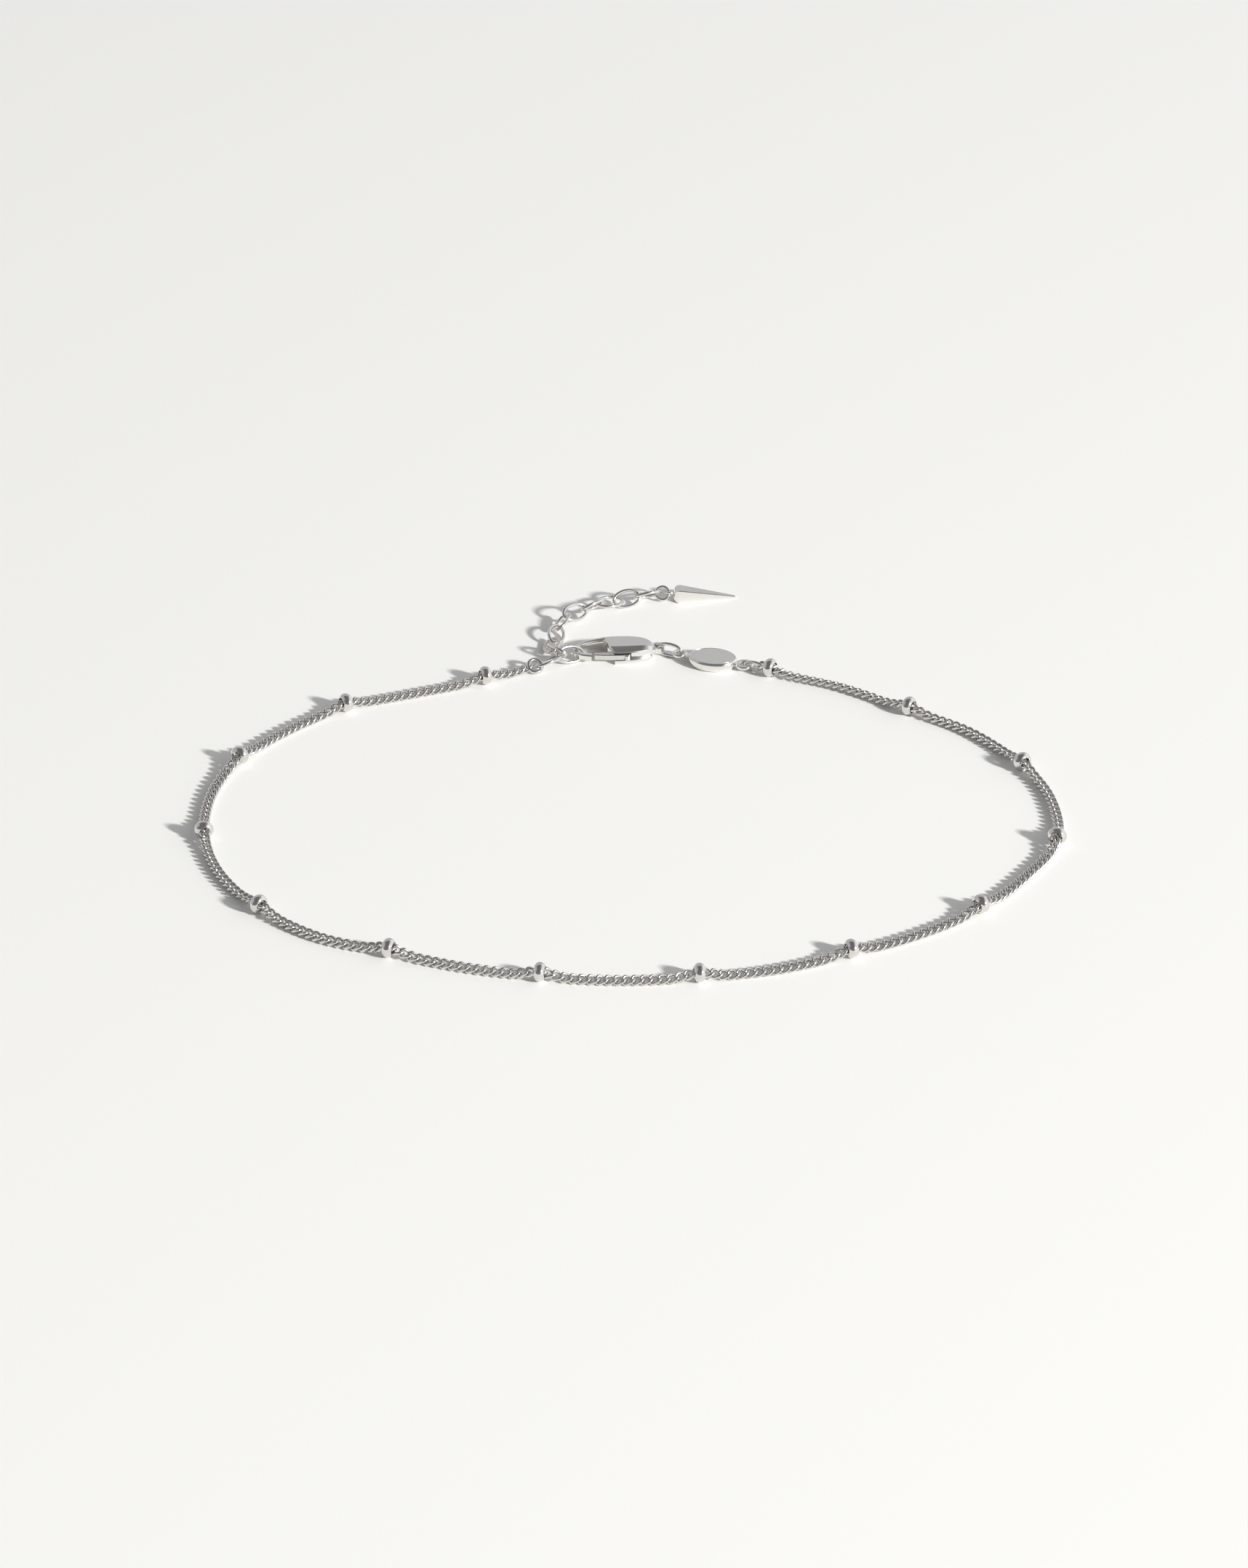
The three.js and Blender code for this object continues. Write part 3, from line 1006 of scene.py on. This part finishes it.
    def body(self) -> bpy.types.Object:
        """Cuts and joins the shell, the hook, the boss and the eye into one casting.

        Returns:
            The clasp's body, about its own middle.
        """
        boss_low = self.slot_low - self.boss_root
        boss_high = self.slot_high + self.boss_head
        shell = self.shell()
        combine(
            shell,
            "DIFFERENCE",
            prism("claw", self.claw_outline(), UNDER_ALL, OVER_ALL),
            prism("lever_slot", self.lever_slot, self.slot_low, self.slot_high),
            prism("tail_recess", self.tail_recess, self.slot_low, self.slot_high),
        )
        combine(
            shell,
            "UNION",
            self.hook_arm(),
            prism("boss", circle(*self.pivot, self.boss_radius), boss_low, boss_high),
            prism("eye", circle(*self.eye, self.eye_outer), self.eye_bottom, self.eye_top),
        )
        hole = prism("eye_hole", circle(*self.eye, self.eye_hole), UNDER_ALL, OVER_ALL)
        combine(shell, "DIFFERENCE", hole)
        soften(shell, self.body_edge)
        return shell

    def lever(self) -> bpy.types.Object:
        """Cuts the lever with its thumb nub and the bore that it turns on.

        Returns:
            The lever, in its place in the body.
        """
        lever = prism("clasp_lever_cast", self.lever_outline, self.lever_bottom, self.lever_top)
        bore = prism("bore", circle(*self.pivot, self.bore_radius), UNDER_ALL, OVER_ALL)
        combine(lever, "DIFFERENCE", bore)
        soften(lever, self.lever_edge)
        return lever

    def build(self) -> list[bpy.types.Object]:
        """Makes both castings and lays the clasp in its place.

        Returns:
            The body and the lever.
        """
        turn = Euler((0, 0, math.radians(self.heading_deg)))
        body = self.body()
        lever = self.lever()
        for piece in (body, lever):
            place_on_sheet(piece, self.x, self.y, 0, turn)
            shade(piece, angle_deg=16.0)
        return [
            finish_piece(body, self.material, ANKLET_BODY, Slot.SATIN, "clasp_body"),
            finish_piece(lever, self.lever_material, LEVER_BODY, Slot.POLISHED, "clasp_lever"),
        ]


@dataclass(frozen=True)
class EyeRing:
    """A flat soldered eye: its middle, its outer and hole radius, and its heights."""

    u: float
    v: float
    outer: float
    hole: float
    bottom: float
    top: float


@dataclass
class Tag:
    """The oval tag: a disc with a rounded side, an engraved border line and two eyes."""

    material: bpy.types.Material
    x: float = 9.4
    y: float = 24.84
    heading_deg: float = -14.0
    length: float = 5.3
    width: float = 3.75
    sides: int = 96
    right_eye: EyeRing = EyeRing(3.44, 0.0, 0.97, 0.47, 0.3, 0.68)
    left_eye: EyeRing = EyeRing(-3.7, 0.47, 0.78, 0.44, 0.42, 0.8)
    eye_sides: int = 56
    eye_rounding: float = 0.15
    right_neck: tuple[float, float] = (2.3, 2.85)
    left_neck: tuple[float, float] = (-3.15, -2.35)
    neck_half: float = 0.35
    neck_bottom: float = 0.34
    neck_top: float = 0.64
    profile: tuple[tuple[float, float], ...] = (
        (0.0, 0.0),
        (0.74, 0.0),
        (0.81, 0.02),
        (0.87, 0.08),
        (0.92, 0.17),
        (0.96, 0.3),
        (0.988, 0.45),
        (1.0, 0.6),
        (0.997, 0.74),
        (0.986, 0.87),
        (0.968, 0.97),
        (0.948, 1.045),
        (0.93, 1.085),
        (0.912, 1.1),
        (0.895, 1.1),
        (0.888, 1.07),
        (0.874, 1.07),
        (0.867, 1.1),
        (0.0, 1.1),
    )

    def disc(self) -> bpy.types.Object:
        """Turns the round disc and stretches it into the oval.

        Returns:
            The disc, about its own middle.
        """
        disc = lathe("tag_disc", self.profile, self.sides, closed=False)
        disc.data.transform(Matrix.Diagonal((self.length / 2, self.width / 2, 1, 1)))
        return disc

    def eye(self, ring: EyeRing) -> bpy.types.Object:
        """Cuts one eye and rounds its edges, so that it looks like a ring of wire.

        Args:
            ring: the eye's place and sizes.

        Returns:
            The eye.
        """
        rim = circle(ring.u, ring.v, ring.outer, self.eye_sides)
        hole = circle(ring.u, ring.v, ring.hole, self.eye_sides)
        eye = prism("tag_eye", rim, ring.bottom, ring.top)
        combine(eye, "DIFFERENCE", prism("tag_eye_hole", hole, UNDER_ALL, OVER_ALL))
        soften(eye, self.eye_rounding, angle_deg=50.0, segments=4)
        return eye

    def neck(self, span: tuple[float, float], v: float) -> bpy.types.Object:
        """Draws the short bar of solder between the disc and an eye.

        Args:
            span: the bar's two ends, from left to right.
            v: the bar's middle.

        Returns:
            The bar.
        """
        start, end = span
        low, high = v - self.neck_half, v + self.neck_half
        outline = [(start, low), (end, low), (end, high), (start, high)]
        return prism("tag_neck", outline, self.neck_bottom, self.neck_top)

    def build(self) -> bpy.types.Object:
        """Joins the disc and its eyes, and lays the tag in its place.

        Returns:
            The tag.
        """
        tag = self.disc()
        combine(
            tag,
            "UNION",
            self.eye(self.right_eye),
            self.eye(self.left_eye),
            self.neck(self.right_neck, self.right_eye.v),
            self.neck(self.left_neck, self.left_eye.v),
        )
        place_on_sheet(tag, self.x, self.y, 0, Euler((0, 0, math.radians(self.heading_deg))))
        shade(tag, angle_deg=35.0)
        return finish_piece(tag, self.material, ANKLET_BODY, Slot.SATIN, "tag")


@dataclass
class SpikePendant:
    """The square spike, which lies on one face, and the round eye soldered to its blunt end."""

    material: bpy.types.Material
    x: float = 5.84
    y: float = 38.95
    heading_deg: float = 4.6
    side: float = 1.55
    length: float = 6.2
    tip_side: float = 0.3
    shoulder: float = 0.3
    edge: float = 0.07
    back: tuple[tuple[float, float], ...] = ((-0.5, 0.7), (-0.43, 1.0), (-0.26, 1.3), (-0.02, 1.5))
    eye_place: tuple[float, float, float] = (4.89, 38.87, 0.87)
    eye_radius: float = 0.45
    eye_wire: float = 0.14
    eye_tilt_deg: float = -40.0
    eye_around: int = 56
    eye_wire_sides: int = 20

    def square(self, along: float, side: float) -> list[tuple[float, float, float]]:
        """Draws one square cut across the spike."""
        half = side / 2
        return [(along, half, -half), (along, half, half), (along, -half, half), (along, -half, -half)]

    def spike(self) -> bpy.types.Object:
        """Lofts the spike along x and dips it until its lower face is level.

        Returns:
            The spike, in its place.
        """
        share = self.shoulder / self.length
        shoulder_side = self.side * (1 - share) + self.tip_side * share
        cuts = [self.square(along, side) for along, side in self.back]
        cuts.append(self.square(self.shoulder, shoulder_side))
        cuts.append(self.square(self.length, self.tip_side))
        spike = loft("spike_pendant_cast", cuts)
        soften(spike, self.edge, angle_deg=50.0, segments=1)
        dip = math.atan((self.side - self.tip_side) / 2 / self.length)
        turn = Euler((0, dip, math.radians(self.heading_deg)))
        place_on_sheet(spike, self.x, self.y, self.side / 2 * math.cos(dip), turn)
        return spike

    def eye(self) -> bpy.types.Object:
        """Bends the eye's wire into a ring.

        Returns:
            The ring, in its place.
        """
        turn = 2 * np.pi * np.arange(self.eye_around) / self.eye_around
        centre = self.eye_radius * np.stack([np.cos(turn), np.sin(turn), 0 * turn], axis=1)
        points = wire_points(centre, centre, self.eye_wire, self.eye_wire_sides)
        ring = mesh_object("spike_eye", points, ring_faces(self.eye_around, self.eye_wire_sides, closed=True))
        place_on_sheet(ring, *self.eye_place, Euler((math.radians(self.eye_tilt_deg), 0, 0)))
        return ring

    def build(self) -> bpy.types.Object:
        """Joins the spike and its eye.

        Returns:
            The pendant.
        """
        pendant = combine(self.spike(), "UNION", self.eye())
        shade(pendant, angle_deg=25.0)
        return finish_piece(pendant, self.material, ANKLET_BODY, Slot.SATIN, "spike_pendant")


# The studio


@dataclass(frozen=True)
class SoftBox:
    """A square studio light: where it hangs, with azimuth 0 towards +X, and how wide and strong it is."""

    name: str
    azimuth_deg: float
    elevation_deg: float
    distance_m: float
    width_m: float
    power_w: float
    colour: str

    def build(self) -> bpy.types.Object:
        """Hangs the light so that it faces the anklet.

        Returns:
            The light.
        """
        lamp = bpy.data.lights.new(self.name, "AREA")
        lamp.shape = "SQUARE"
        lamp.size = self.width_m
        lamp.energy = self.power_w
        lamp.color = linear(self.colour)[:3]
        light = bpy.data.objects.new(self.name, lamp)
        azimuth = math.radians(self.azimuth_deg)
        elevation = math.radians(self.elevation_deg)
        away = Vector(
            (
                math.cos(azimuth) * math.cos(elevation),
                math.sin(azimuth) * math.cos(elevation),
                math.sin(elevation),
            )
        )
        light.location = away * self.distance_m
        light.rotation_euler = away.to_track_quat("Z", "Y").to_euler()
        bpy.context.scene.collection.objects.link(light)
        return light


@dataclass(frozen=True)
class SoftEdge:
    """A soft edge across one direction of the room: outside at the start, inside from the end on."""

    axis: str
    start: float
    end: float


@dataclass(frozen=True)
class RoomPart:
    """A part of the room with a brightness of its own, where it is inside all of its soft edges."""

    level: float
    edges: tuple[SoftEdge, ...]


@dataclass
class Studio:
    """A white card table in a dim room: bright low on the right, dark in front and overhead."""

    card: bpy.types.Material
    table_m: float = 8.0
    wall_colour: str = "#fdfdfe"
    room_level: float = 0.54
    front: RoomPart = RoomPart(0.2, (SoftEdge("Y", -0.2, -0.6),))
    low_right: RoomPart = RoomPart(1.0, (SoftEdge("X", 0.3, 0.6), SoftEdge("Z", 0.78, 0.6)))
    overhead: RoomPart = RoomPart(
        0.17,
        (
            SoftEdge("X", -0.85, -0.45),
            SoftEdge("X", 0.62, 0.3),
            SoftEdge("Y", 0.56, 0.32),
            SoftEdge("Z", 0.3, 0.65),
        ),
    )
    key_light: SoftBox = SoftBox(
        name="key_light",
        azimuth_deg=-36.0,
        elevation_deg=23.5,
        distance_m=2.5,
        width_m=0.2,
        power_w=90.0,
        colour="#fffefb",
    )

    def table(self) -> bpy.types.Object:
        """Lays the card table at height zero.

        Returns:
            The table.
        """
        half = self.table_m / 2
        corners = [(-half, -half, 0), (half, -half, 0), (half, half, 0), (-half, half, 0)]
        table = mesh_object("card_table", corners, [(0, 1, 2, 3)])
        table.data.materials.append(self.card)
        return table

    def walls(self) -> bpy.types.World:
        """Paints the room that the metal reflects.

        Returns:
            The world, with each part of the room laid over the ones before it.
        """
        world = bpy.data.worlds.new("studio_room")
        world.use_nodes = True
        tree = world.node_tree
        background = tree.nodes["Background"]
        way = add_node(tree, "ShaderNodeTexCoord").outputs["Generated"]
        directions = add_node(tree, "ShaderNodeSeparateXYZ", {"Vector": way}).outputs
        level: bpy.types.NodeSocket | float = self.room_level
        for part in (self.front, self.low_right, self.overhead):
            inside = self.inside(tree, directions, part.edges)
            levels = {"Value": inside, "To Min": level, "To Max": part.level}
            level = add_node(tree, "ShaderNodeMapRange", levels).outputs["Result"]
        background.inputs["Color"].default_value = linear(self.wall_colour)
        tree.links.new(level, background.inputs["Strength"])
        return world

    def inside(
        self,
        tree: bpy.types.NodeTree,
        directions: bpy.types.bpy_prop_collection,
        edges: Sequence[SoftEdge],
    ) -> bpy.types.NodeSocket:
        """Marks a part of the room.

        Args:
            tree: the world's node tree.
            directions: the X, Y and Z of the way that is looked in.
            edges: the part's soft edges.

        Returns:
            A value that is 1 inside all of the edges and fades to 0 across each.
        """
        steps = [
            add_node(
                tree,
                "ShaderNodeMapRange",
                {"Value": directions[edge.axis], "From Min": edge.start, "From Max": edge.end},
                interpolation_type="SMOOTHSTEP",
            ).outputs["Result"]
            for edge in edges
        ]
        product = steps[0]
        for step in steps[1:]:
            both = add_node(tree, "ShaderNodeMath", {0: product, 1: step}, operation="MULTIPLY")
            product = both.outputs["Value"]
        return product

    def build(self) -> None:
        """Sets up the table, the room and the light."""
        self.table()
        bpy.context.scene.world = self.walls()
        self.key_light.build()
        bpy.context.scene.view_settings.view_transform = "Standard"


@dataclass(frozen=True)
class PhotoCamera:
    """The photographer's view: a long lens from the front, aimed down at the middle of the sheet."""

    elevation_deg: float = PHOTO_ELEVATION_DEG
    distance_mm: float = PHOTO_DISTANCE_MM
    lens_mm: float = PHOTO_LENS_MM
    sensor_width_mm: float = 36.0
    nearest_m: float = 0.01
    farthest_m: float = 50.0

    def build(self) -> bpy.types.Object:
        """Sets up the camera and makes it the scene's own.

        Returns:
            The camera.
        """
        data = bpy.data.cameras.new("photo_camera")
        data.lens = self.lens_mm
        data.sensor_width = self.sensor_width_mm
        data.clip_start = self.nearest_m
        data.clip_end = self.farthest_m
        camera = bpy.data.objects.new("photo_camera", data)
        elevation = math.radians(self.elevation_deg)
        back = Vector((0, -math.cos(elevation), math.sin(elevation))) * self.distance_mm
        camera.location = (back + Vector(SHEET_SHIFT_MM)) * METRES_PER_MM
        camera.rotation_euler = (math.pi / 2 - elevation, 0, 0)
        bpy.context.scene.collection.objects.link(camera)
        bpy.context.scene.camera = camera
        return camera


def main() -> None:
    """Builds the anklet piece by piece, then the studio and the camera."""
    logging.basicConfig(level=logging.INFO, format="%(name)s: %(message)s")
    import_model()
    PhotoCamera().build()
    polished = BUFFED_SILVER.material()
    satin = SATIN_SILVER.material()
    chain = CurbChain(WIRE_SILVER.material())
    chain.build()
    Beads(polished, chain).build()
    WireLinks(polished).build()
    LobsterClasp(satin, polished).build()
    Tag(satin).build()
    SpikePendant(satin).build()
    Studio(CardFinish().material()).build()


if __name__ == "__main__":
    main()
